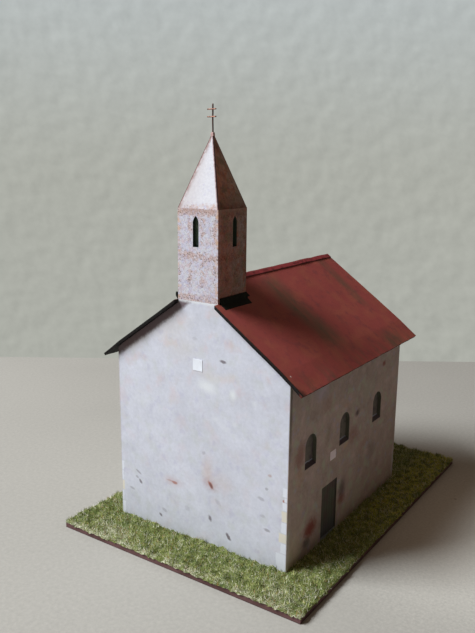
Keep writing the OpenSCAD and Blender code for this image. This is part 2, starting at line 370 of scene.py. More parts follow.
def coat(material, *nodes):
    """Gives CAD nodes a material in place of their plain one."""
    for name in nodes:
        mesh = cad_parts[name].data
        mesh.materials.clear()
        mesh.materials.append(material)


def add_piece(name, mesh, material, stands_for=()):
    """Adds a finished mesh as a piece that rides with the model."""
    piece = bpy.data.objects.new(name, mesh)
    bpy.context.scene.collection.objects.link(piece)
    if material is not None:
        mesh.materials.clear()
        mesh.materials.append(material)
    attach(piece, BODY)
    if stands_for:
        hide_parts(*stands_for)


def stand_in(name, ending, mesh, material):
    """Adds a worked copy of a CAD node in the node's place."""
    coat(material, name)
    add_piece(name + ending, mesh, material, (name,))


# ---- Materials ----


MATT_PAPER = {"Specular_IOR_Level": 0.3}


def paper_relief(paint):
    """Fine fibre relief of matt printed paper."""
    return paint.noise(0.25, 3, rough=0.6) * 0.6 + paint.noise(6, 2) * 1.2


def board_paint(name):
    """Reddish-brown paint on the board, worn pale in places, with painted shade along its foot where it
    meets the floor.
    """
    paint = Paint(name, (110, 74, 74))
    wear = paint.noise(1.2, 4, rough=0.7)
    layers = paint.noise(0.6, 2, where=paint.join(paint.x * 0.12, paint.y * 0.12, paint.z * 2.0))
    paint.blots((88, 56, 54), 7, 4, 0.35, 0.65)
    paint.over((140, 108, 100), wear.fade(0.60, 0.74) * 0.5)
    # Painted shade: darker along the foot of the board, where it meets the floor.
    paint.over((52, 38, 36), paint.z.fade(0.45, 0.05) * 0.8)
    return paint.finish(wear * 0.3 + 0.5, layers + wear * 0.5, 0.06)


def turf_bed(name, turf):
    """Matted flock: green lumps, darker between them, with pale bare places."""
    paint = Paint(name, turf.grass_dark)
    clumps = paint.noise(2.2, 4, rough=0.65)
    crumbs = paint.noise(0.45, 3, rough=0.7)
    paint.over(turf.soil, clumps.fade(0.32, 0.62))
    paint.over(turf.grass, crumbs.fade(0.48, 0.70) * 0.8)
    paint.over(turf.straw, bare_places(paint) * crumbs.fade(0.42, 0.60) * 0.8)
    paint.blots((150, 104, 66), 1.0, 2, 0.66, 0.74, 0.6, shift=7.0)
    return paint.finish(0.95, crumbs + clumps, 0.5, Specular_IOR_Level=0.15)


def bare_places(paint):
    """Pale straw places of the turf: two by the front corners and scattered small ones."""
    first = paint.spot(paint.x, paint.y, (-31.5, -68.5), (13, 5), -10, 0.9)
    second = paint.spot(paint.x, paint.y, (41, -68), (15, 8), -40, 0.9)
    rim = paint.y.fade(-70.5, -73.5) * paint.noise(3.0, 2, shift=6.0).fade(0.40, 0.55)
    small = paint.noise(5.0, 3, shift=2.0).fade(0.60, 0.72)
    return first.most(second * 0.5).most(small * 0.6).most(rim * 0.9)


def turf_fibre(name, turf):
    """Grass fibres: each has its own tone, over the tone of its clump and the straw places."""
    paint = Paint(name, turf.grass_dark)
    tone = paint.node("ShaderNodeAttribute", {"attribute_name": "tone"}, {}, "Fac")
    kind = paint.node("ShaderNodeAttribute", {"attribute_name": "kind"}, {}, "Fac")
    clump = paint.noise(3.4, 3)
    paint.over(turf.grass, (tone * 0.5 + clump * 1.2).fade(0.58, 1.08))
    paint.over(turf.grass_light, (tone * 0.5 + clump).fade(0.74, 1.02))
    paint.blots((96, 122, 88), 4, 3, 0.52, 0.64, 0.55, shift=4.0)
    paint.blots((84, 100, 50), 5.5, 3, 0.52, 0.66, 0.45, shift=17.0)
    # Painted light: the fibres at the far right are lighter and yellower, where some light reaches the
    # shaded turf.
    far = paint.x.fade(36, 42) * paint.y.fade(-35, 5) * clump.fade(0.40, 0.54)
    paint.over((226, 224, 112), far * 0.85)
    straw = (kind + bare_places(paint) * 0.36).fade(0.76, 0.84)
    paint.over(turf.straw, straw * 0.92)
    paint.over((176, 122, 72), kind.below(0.06) * 0.8)
    return paint.finish(0.8, Specular_IOR_Level=0.2)


# Marks of the printed plaster on the front: middle across and height above the board's underside,
# length and width, turn in degrees, strength, ink. Bare stones first.
FRONT_STONES = (
    (10.9, 73.6, 2.6, 1.1, -8, 0.75, "mark"),
    (-29, 22.3, 3.0, 0.8, -28, 0.45, "mark"),
    (-28, 18.5, 2.0, 1.1, -50, 0.70, "mark"),
    (-29.8, 20, 1.6, 0.9, -20, 0.35, "mark"),
    (-32.5, 14.5, 2.6, 0.9, -12, 0.30, "mark"),
    (-11, 22.7, 2.6, 1.2, -6, 0.70, "rust"),
    (-13.4, 23, 2.8, 0.6, 0, 0.35, "rust"),
    (5.8, 26.4, 3.2, 1.5, -52, 0.85, "rust"),
    (6.0, 26.2, 2.4, 1.0, -52, 0.6, "mark"),
    (2.6, 38, 1.6, 1.1, 20, 0.25, "mark"),
    (-18, 7.5, 1.6, 1.0, -40, 0.70, "mark"),
    (-16, 10, 2.4, 1.3, -20, 0.28, "mark"),
    (5.5, 13.2, 2.3, 1.3, -65, 0.70, "mark"),
    (13.7, 8.4, 3.2, 1.3, -52, 0.80, "mark"),
    (30, 16.2, 2.6, 1.0, -8, 0.45, "mark"),
    (27.5, 27.3, 2.8, 1.2, -15, 0.30, "mark"),
    (28, 21, 2.2, 1.1, 0, 0.20, "mark"),
    (30.7, 36.8, 1.4, 1.0, 0, 0.40, "rust"),
    (29.6, 31.6, 1.2, 1.0, 0, 0.35, "mark"),
    (-5, 14, 2.4, 1.8, -15, 0.16, "mark"),
    (9, 20.5, 2.6, 1.6, -40, 0.16, "mark"),
    (-1.5, 80, 2.2, 1.2, 0, 0.14, "mark"),
    (36.4, 29, 0.9, 0.9, 0, 0.80, "rust"),
    (36.7, 26, 0.6, 0.6, 0, 0.70, "mark"),
)
# Soft stains of the front
FRONT_STAINS = (
    (4.2, 31.5, 4, 8, 0, 0.30, "ochre"),
    (5.5, 26.6, 6, 4, -20, 0.28, "rust"),
    (-11.5, 23, 7, 3.4, 0, 0.25, "rust"),
    (10, 29, 8, 6, 0, 0.14, "ochre"),
    (-29, 79, 12, 8, 25, 0.16, "rust"),
    (-12, 83, 16, 6, 20, 0.22, "cream"),
    (-8, 76, 14, 8, 0, 0.20, "cream"),
    (-31, 76, 8, 9, 0, 0.22, "cream"),
    (5, 67.5, 8, 4, -10, 0.25, "cream"),
    (13, 68, 7, 3, 10, 0.20, "cream"),
    (4, 63.3, 7, 3.6, -12, 0.80, "white"),
    (15.2, 62.5, 2.2, 3.0, 0, 0.80, "white"),
    (24, 61, 2.0, 1.8, 0, 0.35, "white"),
    (13, 49, 6, 2.0, -30, 0.30, "white"),
    (16, 52, 2.2, 1.8, 0, 0.35, "white"),
    (8, 52, 3, 2.2, 0, 0.30, "white"),
    (-27, 53, 6, 5, 0, 0.30, "white"),
)
# Marks of the side walls: middle behind the front and height above the board's underside
SIDE_STONES = (
    (16.7, 11.9, 8.5, 6.2, 10, 0.90, "brick"),
    (14.0, 7.4, 5.4, 3.4, -10, 0.75, "mark"),
    (41.6, 17.3, 5.2, 7.8, -10, 0.70, "mark"),
    (41.2, 13.2, 5.5, 3.6, 0, 0.60, "brick"),
    (53.0, 45.2, 3.2, 2.2, 10, 0.85, "mark"),
    (77.3, 59.6, 3.0, 2.0, 0, 0.75, "brick"),
    (7.6, 43, 6.5, 9, -10, 0.45, "brick"),
    (7.5, 35, 5, 7, 10, 0.30, "ochre"),
    (50, 37, 9, 6, -20, 0.35, "brick"),
    (29, 44, 5, 6, 0, 0.30, "olive"),
    (43.2, 34.6, 5.5, 1.8, 20, 0.50, "ochre"),
    (42.6, 51.2, 4.5, 1.6, -10, 0.35, "ochre"),
    (5, 9, 6, 12, 0, 0.30, "cream"),
    (60, 30, 9, 5, 30, 0.20, "rust"),
    (68, 24, 9, 8, 0, 0.18, "mark"),
    (28, 56, 9, 6, 0, 0.16, "rust"),
    (54, 10, 12, 7, 10, 0.30, "moss"),
    (62, 52, 10, 7, 0, 0.30, "moss"),
    (22, 62, 9, 5, 0, 0.30, "lilac"),
    (70, 45, 7, 9, 0, 0.25, "blush"),
)
# Corner stones: foot above the board's underside, width, and 1 for a cream one
RIGHT_QUOINS = (
    (2.3, 4.2, 0),
    (9.3, 2.4, 0),
    (13.3, 3.2, 1),
    (17.0, 2.4, 0),
    (21.2, 2.2, 1),
    (25.4, 2.0, 0),
    (28.6, 1.3, 0),
    (30.4, 1.9, 0),
)
RIGHT_QUOIN_TOP = 34
LEFT_QUOINS = ((2.3, 1.8, 0), (8.0, 0.9, 0), (12.5, 1.6, 1), (16.8, 1.0, 0), (21.0, 1.4, 0))
LEFT_QUOIN_TOP = 25


def print_marks(paint, run, marks, papers, blur=0.4):
    """Prints ragged marks at their places along a wall."""
    for middle, height, wide, tall, turn, strength, ink in marks:
        mask = paint.spot(run, paint.z, (middle, height), (wide, tall), turn, blur)
        paint.over(getattr(papers, ink), mask * strength)


def quoins(paint, inward, papers, stones, top, where):
    """Corner stones of uneven height and width, up to a height."""
    edge = paint.wander(1.1, 1.1, 2)
    for number, (low, width, cream) in enumerate(stones):
        high = stones[number + 1][0] if number + 1 < len(stones) else top
        tall = (high - low) / 2
        course = (paint.z + edge * 0.3 - (low + high) / 2).abs().fade(tall, tall - 0.35)
        mask = (inward + edge - width).fade(0.25, -0.25) * course * where
        paint.over(papers.quoin_cream if cream else papers.quoin, mask * 0.9)


def plaster_ground(paint, papers, on_side):
    """Plain plaster of a wall, with uneven tones and soft pink, green and lilac clouds."""
    # Painted shade: each side wall takes its own plaster, the right one darker and warmer.
    paint.over(paint.mix(papers.plaster_left, papers.plaster_right, paint.across.above(0)), on_side)
    light = paint.wander(0.20, 24, 3) + paint.wander(0.26, 5, 4, shift=3.0)
    light = light + paint.wander(0.34, 1.3, 4, rough=0.7, shift=5.0)
    paint.dim(light * (on_side * 0.9 + 1.0) + 1.0)
    pink, green, lilac = (paint.noise(size, 4, shift=size) for size in (6.0, 4.5, 3.0))
    pinker = paint.z.fade(30, 90) * 0.34 + on_side * 0.3 + 0.16
    paint.over(papers.blush, pink.fade(0.50, 0.72) * pinker)
    paint.over(papers.moss, green.fade(0.50, 0.68) * (on_side * 0.50 + 0.16))
    paint.over(papers.lilac, lilac.fade(0.54, 0.72) * (on_side * 0.24 + 0.26))


def gable_edges(paint, papers, on_face):
    """Corner stones of a gable wall, painted shadow under its left eave and wear round the tower's foot.
    """
    quoins(paint, HALF_W - paint.across, papers, RIGHT_QUOINS, RIGHT_QUOIN_TOP, on_face)
    quoins(paint, paint.across + HALF_W, papers, LEFT_QUOINS, LEFT_QUOIN_TOP, on_face)
    # Painted shadow: a ragged maroon band under the left eave, where the overhang's shadow falls.
    eave = GABLE_TOP - paint.across.abs() * ROOF_SLOPE - paint.z
    eave_shadow = eave + paint.wander(2.6, 1.6, 4, rough=0.7, shift=41.0)
    paint.over((92, 68, 70), eave_shadow.fade(4.4, 2.2) * paint.across.below(0) * 0.88)
    shoulder = TOWER_LOW.z - paint.z + paint.wander(1.0, 0.8, 2)
    paint.over(papers.white, shoulder.abs().fade(1.2, 0.2) * 0.7)
    seam = (HALF_W - paint.across.abs()).fade(0.45, 0.20) * on_face
    paint.over((96, 82, 80), seam * 0.55)


def plaster(name, papers, side_wall, stains, stones):
    """Printed plaster that goes round the corners, for a wall across the church or along it."""
    paint = Paint(name, papers.plaster)
    on_side = paint.across.abs().above(HALF_W - 0.2)
    on_face = on_side.below(0.5)
    plaster_ground(paint, papers, on_side)
    if side_wall:
        print_marks(paint, paint.along, stones, papers, 0.7)
        paint.over(papers.reveal, paint.across.abs().below(HALF_W - 0.05))
    else:
        print_marks(paint, paint.across, stains, papers, 0.9)
        print_marks(paint, paint.across, stones, papers)
        gable_edges(paint, papers, on_face)
    inward = paint.along.least(CHURCH_END - CHURCH_Y - paint.along)
    paint.over(papers.quoin, on_side * inward.fade(2.8, 1.0) * paint.z.fade(24, 12) * 0.30)
    strip = (paint.along + paint.noise(1.4, 2)).fade(2.1, 1.5) * paint.z.fade(34, 60)
    paint.over((96, 96, 86), strip * on_side * paint.across.above(0) * 0.65)
    # Greyer and darker near the foot of the walls: partly greyish print, partly painted shade from the
    # turf.
    grey_and_shaded_foot = (paint.z + paint.wander(6, 3, 3)).fade(7.0, 2.0)
    paint.over((150, 150, 140), grey_and_shaded_foot * 0.22)
    return paint.finish(0.82, paper_relief(paint), 0.03, **MATT_PAPER)


# The tower's print: width and height of its repeat, where the first ones start, and a stone
STONE_PITCH, STOREY = 5.45, 15
FIRST_PITCH, FIRST_STOREY = 8.9, 0.6
STONE_SIZE = 0.95


def tower_stone(paint, papers, side_face):
    """Printed rubble: pale stones in a repeating frame of warm ones, with dark and ochre grains."""
    up = paint.z - TOWER_LOW.z
    across, along = paint.across, paint.y - TOWER_Y
    wander = paint.wander(2.6, 1.6, 3, shift=2.0)
    run = along if side_face else across
    column = (((run + wander * 0.4 + FIRST_PITCH) / STONE_PITCH).fract() - 0.5).abs().fade(0.18, 0.48)
    storey = ((up + wander - FIRST_STOREY) / STOREY).fract()
    band = (storey - 0.5).abs().fade(0.34, 0.48)
    column = column * (storey - 0.62).abs().fade(0.40, 0.20)
    corner = across.abs().least(along.abs()).fade(TOWER_HALF - 2.2, TOWER_HALF - 0.2)
    warm = band.most(column * 0.72).most(corner * 0.62) + paint.wander(1.1, 2.2, 3, shift=8.0)
    red, green, blue = paint.split(paint.cells(STONE_SIZE, "Color"))
    joint = paint.cells(STONE_SIZE, feature="DISTANCE_TO_EDGE")
    grain = paint.noise(0.40, 3, rough=0.75, shift=6.0)
    pale = paint.mix(papers.stone, (212, 212, 216), green)
    pale = paint.mix(pale, (208, 190, 196), paint.noise(1.2, 3, shift=21.0).fade(0.46, 0.66) * 0.8)
    peach = paint.mix(papers.peach, (210, 196, 194), blue)
    mixed = (warm + (red - 0.5) * 1.1).fade(0.05, 1.15)
    paint.colour = paint.mix(pale, peach, mixed * 0.8)
    paint.over(papers.lilac, blue.fade(0.68, 0.90) * 0.35)
    paint.dim(grain * 1.0 + 0.50)
    paint.over((158, 120, 114), joint.fade(0.14, 0.02) * (mixed * 0.4 + 0.10))
    dots = grain.fade(0.53, 0.62) * (mixed * 0.85 + 0.12)
    paint.over((160, 106, 96), dots * 0.85)
    dark = paint.noise(0.50, 2, rough=0.6, shift=12.0).fade(0.54, 0.61) * (mixed * 0.7 + 0.30)
    paint.over(paint.mix((112, 86, 100), (100, 98, 82), red), dark * 0.95)
    gold = corner * paint.noise(1.6, 2, shift=9.0).fade(0.50, 0.64)
    paint.over((216, 174, 134), gold * 0.6)


def brown_shade_side(paint, papers, amount):
    """Browner side faces, partly print and partly painted shade: rust towards the front, greyish olive
    behind.
    """
    plain = paint.colour
    back = (paint.y - TOWER_Y + paint.wander(10, 4, 3, shift=1.0)).fade(-7, 7)
    cast = paint.mix(papers.rust_print, papers.olive_print, back)
    paint.colour = paint.vector("MULTIPLY", plain, cast)
    paint.blots(papers.rust, 1.9, 4, 0.48, 0.64, 0.75, rough=0.7, shift=15.0)
    paint.blots(papers.olive, 2.4, 4, 0.50, 0.64, 0.65, rough=0.7, shift=18.0)
    paint.blots((108, 82, 92), 1.7, 3, 0.54, 0.66, 0.6, rough=0.7, shift=24.0)
    paint.dim(paint.noise(3.0, 4, rough=0.7, shift=27.0) * 1.3 + 0.38)
    paint.colour = paint.mix(plain, paint.colour, amount)


def tower_print(name, papers, side_face, brown):
    """Rubble print of a tower wall. Its cut ends turn brown with painted shade like the wall beside it.
    """
    paint = Paint(name)
    tower_stone(paint, papers, side_face)
    on_side = paint.across.abs().above(TOWER_HALF - 0.03)
    brown_shade_side(paint, papers, brown if side_face else paint.across.above(0) * on_side * brown)
    top = paint.z - TOWER_HIGH.z + paint.wander(3.5, 1.5, 3, shift=3.0)
    paint.over((176, 140, 124), top.fade(-2.6, 0.2) * 0.5)
    outward = paint.across.abs().most((paint.y - TOWER_Y).abs())
    paint.over(papers.dark_reveal, outward.below(TOWER_HALF - 0.05))
    return paint.finish(0.78, paper_relief(paint), 0.03, **MATT_PAPER)


def spire_print(name, papers, side_face, brown):
    """The same print on the spire: plain above its foot, brown along the open seams, with painted shade
    on its sides.
    """
    paint = Paint(name)
    tower_stone(paint, papers, side_face)
    rise = paint.z - TOWER_HIGH.z
    along = (paint.y - TOWER_Y).abs()
    plain = paint.tone(screen_colour(211, 209, 213), paint.noise(1.0, 4, rough=0.7) * 0.50 + 0.76)
    speck = paint.noise(0.5, 3, rough=0.7, shift=5.0).fade(0.60, 0.72)
    plain = paint.mix(plain, papers.peach, speck * 0.8)
    plain = paint.mix(plain, papers.lilac, paint.noise(1.4, 3, shift=9.0).fade(0.56, 0.72) * 0.4)
    paint.blots((196, 164, 148), 1.4, 3, 0.45, 0.65, 0.8, shift=3.0)
    paint.over(plain, (rise + paint.wander(5, 1.3, 3, shift=3.0)).fade(0.4, 2.2))
    brown_shade_side(paint, papers, brown)
    # Painted shade on the brown sides: darker at the spire's foot and a little darker near its top.
    worn = (rise.fade(-1, 10) * 0.50 + 0.68) * (1.0 - rise.fade(15, 24) * 0.25)
    paint.dim(worn * (0.9 * brown) + (1 - 0.9 * brown))
    seam = (paint.across.abs() - along).abs() + paint.wander(0.5, 0.9, 2)
    if not side_face:
        ragged = paint.noise(2.4, 3, shift=31.0).fade(0.36, 0.50)
        paint.over((138, 104, 94), seam.fade(2.2, 0.5) * paint.across.below(0) * ragged * 0.85)
        # Painted shade: the front face turns greyer towards its left.
        rightward = paint.across / (along + 0.3)
        paint.over((186, 172, 168), rightward.fade(0.4, -1.0) * 0.45)
    paint.over((170, 128, 124), seam.fade(0.75, 0.35) * 0.8)
    paint.over((66, 48, 46), seam.fade(0.46, 0.15) * 0.85)
    return paint.finish(0.75, paper_relief(paint), 0.03, **MATT_PAPER)


def roof_soot(paint, mottle):
    """Sooty streaks that run down the roof's slopes, with a faint painted shadow of the tower, from 0 to
    1.
    """
    down, along = paint.across.abs(), paint.along
    run = paint.join(down * 0.30, along, 0.0)
    rough = paint.noise(3.4, 4, where=run, rough=0.6)
    wander = paint.wander(8, 8, 3, shift=5.0)
    bend = (down - 14).abs() * 0.16
    broad = (along - 38 - bend + wander * 0.6).abs().fade(10.5, 0.0) * down.fade(40, 30) * down.fade(1, 7)
    second = (along - 86 + down * 0.06 + wander * 0.6).abs().fade(5, 0.5) * down.fade(30, 20)
    # Painted shadow of the tower, faint, on the roof behind its foot.
    near = (along - 20 - wander).abs().fade(12, 2) * down.fade(20, 9)
    soot = (broad * 0.78 + second * 0.62 + near * 0.12) * rough.fade(0.15, 0.60)
    soot = soot + paint.spot(down, along, (41, 77), (7, 10), 0, 0.8) * 0.45
    return soot + mottle.fade(0.52, 0.72) * 0.26 + down.fade(34, 43) * rough.fade(0.45, 0.6) * 0.35


def roof_paint(name, roof):
    """Red-brown painted paper with a broad sooty streak that runs down the slope."""
    paint = Paint(name, roof.red)
    down, along = paint.across.abs(), paint.along
    mottle = paint.noise(4.2, 5, rough=0.62)
    grain = paint.noise(0.6, 4, rough=0.7)
    paint.blots(roof.orange, 9, 3, 0.44, 0.62, 0.75, shift=2.0)
    paint.over(roof.crimson, mottle.fade(0.50, 0.68) * 0.8)
    # Soot, with the faint painted shadow of the tower.
    paint.over(roof.soot, roof_soot(paint, mottle))
    # Painted shade: the left slope is 30 per cent darker, to hold back its brightness in the lamp's
    # light.
    paint.dim((grain * 0.50 + 0.76) * (1.0 - paint.across.below(0) * 0.30))
    paint.over((196, 110, 100), grain.fade(0.66, 0.74) * 0.25)
    verge = along + paint.noise(1.2, 3, rough=0.7) * 0.6 - down.fade(12, 32) * 0.5
    paint.over(roof.edge, verge.fade(-1.60, -1.90))
    paint.over(roof.edge, paint.spot(down, along, (44, -2), (5, 5), 0, 0.6) * 0.7)
    paint.over((226, 214, 206), paint.spot(down, along, (37.4, 0.6), (0.5, 0.5), 0, 0.2))
    return paint.finish(grain * 0.25 + 0.45, grain * 0.6 + mottle * 2, 0.04, Specular_IOR_Level=0.5)


def roof_edge(name, roof):
    """Black-green paint on the cut edges and the underside of the roof card."""
    paint = Paint(name, roof.edge)
    blotch = paint.noise(2.2, 4)
    paint.over((28, 19, 19), blotch.fade(0.45, 0.7))
    worn = paint.noise(0.8, 3, rough=0.7, shift=3.0).fade(0.62, 0.76)
    paint.over((92, 70, 66), worn * (paint.across.below(0) * 0.4 + 0.15))
    paint.over((104, 46, 38), paint.across.fade(42.0, 42.8) * 0.8)
    return paint.finish(0.7, blotch, 0.05, Specular_IOR_Level=0.2)


def ridge_paint(name, roof):
    """Red strip along the ridge, with a painted highlight on its crest and painted shade along its edges.
    """
    paint = Paint(name, roof.ridge)
    blotch = paint.noise(3.0, 4)
    from_crest = paint.across.abs()
    paint.over((112, 36, 40), blotch.fade(0.42, 0.66))
    # Painted highlight on the crest.
    paint.over((190, 110, 106), from_crest.fade(0.7, 0.1) * blotch.fade(0.40, 0.62) * 0.55)
    # Painted shade along the strip's edges.
    paint.over((60, 28, 28), from_crest.fade(1.50, 1.68) * 0.55)
    return paint.finish(0.55, blotch, 0.04)


def flashing_paint(name, roof):
    """Matt black-green paper of the flashing."""
    paint = Paint(name, roof.flashing)
    paint.blots((30, 38, 24), 1.8, 4, 0.48, 0.7)
    paint.blots((76, 66, 54), 0.5, 3, 0.66, 0.78, 0.35, rough=0.7)
    return paint.finish(0.7, paper_relief(paint), 0.04, Specular_IOR_Level=0.25)


def opening_card(name, papers):
    """Dark card behind a window, with a painted highlight along the crease at the back of its sill and
    painted shade on the sill.
    """
    paint = Paint(name, papers.shade_card)
    sill = paint.z - box("right_window_1")[0].z - 2.6
    blotch = paint.noise(2.6, 3)
    paint.blots((78, 62, 72), 5, 2, 0.45, 0.65, shift=3.0)
    paint.over((66, 76, 60), blotch.fade(0.5, 0.7) * 0.8)
    # Painted highlight: a pale bluish line along the crease between the card and its sill.
    crease_highlight = sill - 0.2 + paint.wander(0.8, 2.4, 2)
    paint.over((170, 176, 196), crease_highlight.abs().fade(0.34, 0.10) * 0.8)
    # Painted shade: darker and purpler on the sill, below the crease.
    paint.over((84, 72, 84), sill.fade(0.2, -0.2) * 0.7)
    return paint.finish(0.7, blotch, 0.05)


def lining_card(name):
    """Dark green card behind the lancets, a little bluish at their feet."""
    paint = Paint(name, (84, 102, 86))
    blotch = paint.noise(1.6, 3)
    paint.over((108, 120, 100), blotch.fade(0.4, 0.7))
    paint.over((96, 116, 122), (paint.z - box("tower_lining")[0].z).fade(4.0, 1.5) * 0.7)
    return paint.finish(0.7, blotch, 0.05, Specular_IOR_Level=0.2)


def door_paint(name):
    """Printed door: faint planks, darker at its edges and bluish below."""
    paint = Paint(name, (86, 90, 74))
    low, high = box("door_panel")
    plank_width = 2.05
    half = (high.y - low.y) / 2
    across = paint.y - (low.y + high.y) / 2
    plank = ((across / plank_width + 0.5).fract() - 0.5).abs().fade(0.40, 0.48)
    grain = paint.noise(0.5, 3, where=paint.join(paint.x, paint.y, paint.z * 0.16))
    paint.blots((94, 78, 72), 4, 3, 0.4, 0.65)
    paint.over((88, 94, 108), paint.z.fade(12, 4) * 0.6)
    paint.dim(grain * 0.5 + 0.75)
    paint.over((40, 34, 34), plank * 0.5)
    paint.over((46, 38, 38), across.abs().fade(half - 1.0, half - 0.2) * 0.7)
    return paint.finish(0.7, grain - plank * 1.5, 0.05)


def plain_paper(name, colour, dirt):
    """Unprinted paper with faint fibres."""
    paint = Paint(name, colour)
    fibre = paint.noise(0.4, 3, rough=0.7)
    paint.blots(dirt, 2.2, 2, 0.5, 0.75, 0.35)
    paint.dim(fibre * 0.08 + 0.96)
    return paint.finish(0.85, fibre, 0.03)


def wire_metal(name, colour):
    """Tarnished coppery wire."""
    paint = Paint(name, colour)
    tarnish = paint.noise(1.1, 4, rough=0.65)
    paint.over((66, 48, 44), tarnish.fade(0.44, 0.66))
    paint.blots((198, 140, 116), 0.6, 2, 0.60, 0.72, 0.5, shift=4.0)
    return paint.finish(tarnish * 0.4 + 0.3, tarnish, 0.03, Metallic=0.5)


def floor_card(name, stage):
    """Pale card of the floor, with faint clouds, a few dark specks, painted light in the church's shadow
    and painted shade towards the right.
    """
    paint = Paint(name, stage.floor)
    cloud = paint.wander(0.10, 60, 3) + paint.wander(0.55, 1.5, 4, rough=0.8) + 1.0
    # Painted light: a paler place where the church's shadow falls; painted shade: darker towards the
    # right.
    painted_bounce_light = paint.spot(paint.x, paint.y, (92, 22), (80, 110), -12, 0.7)
    paint.dim(cloud * (1.0 - paint.x.fade(40, 260) * 0.20) + painted_bounce_light * 0.55)
    paint.over((92, 90, 86), paint.cells(34.0).fade(0.030, 0.012) * 0.7)
    return paint.finish(0.9, paint.noise(2.2, 4), 0.05)


def room(name, stage):
    """Rough plastered wall as the camera sees it, its relief painted as shade and highlight, and dim warm
    light for everything else.
    """
    world = bpy.data.worlds.new(name)
    world.use_nodes = True
    shade = Shade(world.node_tree, "Generated", 1.0)
    moved = shade.vector("ADD", shade.place, (0.006, 0.004, -0.006))
    # Painted shade and highlight of the plaster's relief, from two offset noises.
    relief = shade.noise(0.022, 3, where=moved) - shade.noise(0.022, 3)
    seen = shade.mix(stage.wall, (184, 191, 192), shade.z.fade(-0.05, 0.30))
    seen = shade.tone(seen, relief * 0.30 + shade.wander(0.06, 0.25, 2) + 1.0)
    backdrop = shade.node("ShaderNodeBackground", {}, {"Color": seen})
    from_above = shade.tone(stage.sky_colour, shade.z.most(0) * 1.35 + 0.45)
    fill = shade.node("ShaderNodeBackground", {}, {"Color": from_above, "Strength": stage.sky})
    camera_ray = shade.node("ShaderNodeLightPath", {}, {}, "Is Camera Ray")
    mix = shade.node("ShaderNodeMixShader", {}, {0: camera_ray, 1: fill, 2: backdrop})
    output = shade.tree.nodes.new("ShaderNodeOutputWorld")
    shade.feed(output.inputs["Surface"], mix)
    return world


# ---- Worked copies of the card parts, whose rules are in millimetres ----


def merged_copy(node):
    """A CAD node's mesh, ready to work on, with its doubles merged."""
    mesh = bmesh.new()
    mesh.from_mesh(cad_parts[node].data)
    bmesh.ops.remove_doubles(mesh, verts=mesh.verts, dist=0.001 * MM)
    return mesh


def kept_mesh(mesh, name):
    """Turns what was worked on into a mesh."""
    result = bpy.data.meshes.new(name)
    mesh.to_mesh(result)
    mesh.free()
    return result


def worked_copy(name, shift, step, cut_axes="xy"):
    """Copy of a node's mesh, cut into a grid, whose points are moved by a rule."""
    mesh = merged_copy(name)
    low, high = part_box(name)
    for axis in cut_axes:
        number = "xyz".index(axis)
        normal = Vector([float(number == other) for other in range(3)])
        count = max(2, round((high[number] - low[number]) / (step * MM)))
        for cut in range(1, count):
            plane = {"plane_co": low.lerp(high, cut / count), "plane_no": normal}
            everything = mesh.verts[:] + mesh.edges[:] + mesh.faces[:]
            bmesh.ops.bisect_plane(mesh, geom=everything, dist=0.0001 * MM, **plane)
    for point in mesh.verts:
        point.co += shift(point.co / MM) * MM
    bmesh.ops.triangulate(mesh, faces=[face for face in mesh.faces if len(face.verts) > 4])
    return kept_mesh(mesh, name + "_worked")


def ripple(place, size, seed=0.0):
    """Smooth noise from about -1 to 1 with waves of the given size."""
    return noise.noise(Vector((place.x / size + seed, place.y / size, place.z / size)))


def held(value):
    """The value, held between 0 and 1."""
    return max(0.0, min(1.0, value))


def roof_ripple(place):
    """Lifts the roof paper and card a little, and roughens their edges."""
    side = 1 if place.x > CHURCH_X else -1
    down = abs(place.x - CHURCH_X)
    flat = Vector((place.x, place.y, 0))
    lift = 0.10 + 0.16 * ripple(flat, 17) + 0.05 * ripple(flat, 5, 4)
    reach = max(0.0, (down - 39) / 4)
    lift += 0.22 * ripple(flat, 9, 9) * reach
    move = Vector((0.576 * side, 0, 0.817)) * max(0.0, lift)
    move += Vector((side * 0.5, 0, -0.3)) * 0.25 * ripple(flat, 3.5, 2) * reach
    move.y += 0.16 * ripple(flat, 4, 6) * held((ROOF_FRONT + 2.5 - place.y) / 2.5)
    return move * min(1.0, down / 3)


def ridge_ripple(place):
    """Raises the folded strip unevenly."""
    run = Vector((0, place.y, 0))
    lift = 0.16 + 0.30 * ripple(run, 12) + 0.10 * ripple(run, 4, 3)
    return Vector((0.10 * ripple(run, 8, 5), 0, max(0.0, lift)))


def flashing_curl(place):
    """Turns the front end of the left flashing's upright out from the tower."""
    near = max(0.0, 1 - (place.y - box("flashing_left")[0].y) / 3)
    return Vector((-1.0, -0.5, 0.5)) * near * held(place.z - TOWER_LOW.z + 0.4)


def blunt_tip(place):
    """Presses the tip down into a small ragged cap."""
    out = Vector((place.x - CHURCH_X, place.y - TOWER_Y, 0))
    rise = place.z - TIP_FOOT
    squeeze = Vector((0, 0, -0.36 * rise)) + out * (0.22 * rise)
    return squeeze + Vector((ripple(place, 0.7), ripple(place, 0.7, 3), 0)) * 0.06


def bent_upright(place, middle):
    """Bends the upright wire a little and sinks its foot in the tip of the spire."""
    foot = max(0.0, 1 - (place.z - box("cross_upright")[0].z) / 0.6)
    sway = 0.09 * ripple(Vector((0, 0, place.z)), 4.5)
    thinner = 0.12 * Vector((place.x - middle.x, place.y - middle.y, 0))
    return Vector((sway, 0.5 * sway, -1.1 * foot)) - thinner


def thin_arm(place, middle):
    """Thins an arm of the cross and tilts it a little."""
    inward = Vector((0, middle.y - place.y, middle.z - place.z)) * 0.3
    sway = 0.05 * ripple(Vector((place.x, 0, middle.z)), 1.8)
    return inward + Vector((0, 0, 0.02 * (place.x - middle.x) + sway))


def bow(place, middle, outward):
    """Presses a patch into its glue and lifts its corners from the wall."""
    half_diagonal, lift, glue = 2.8, 0.08, 0.12
    away = (place - middle).length / half_diagonal
    return outward * (lift * away * away - glue)


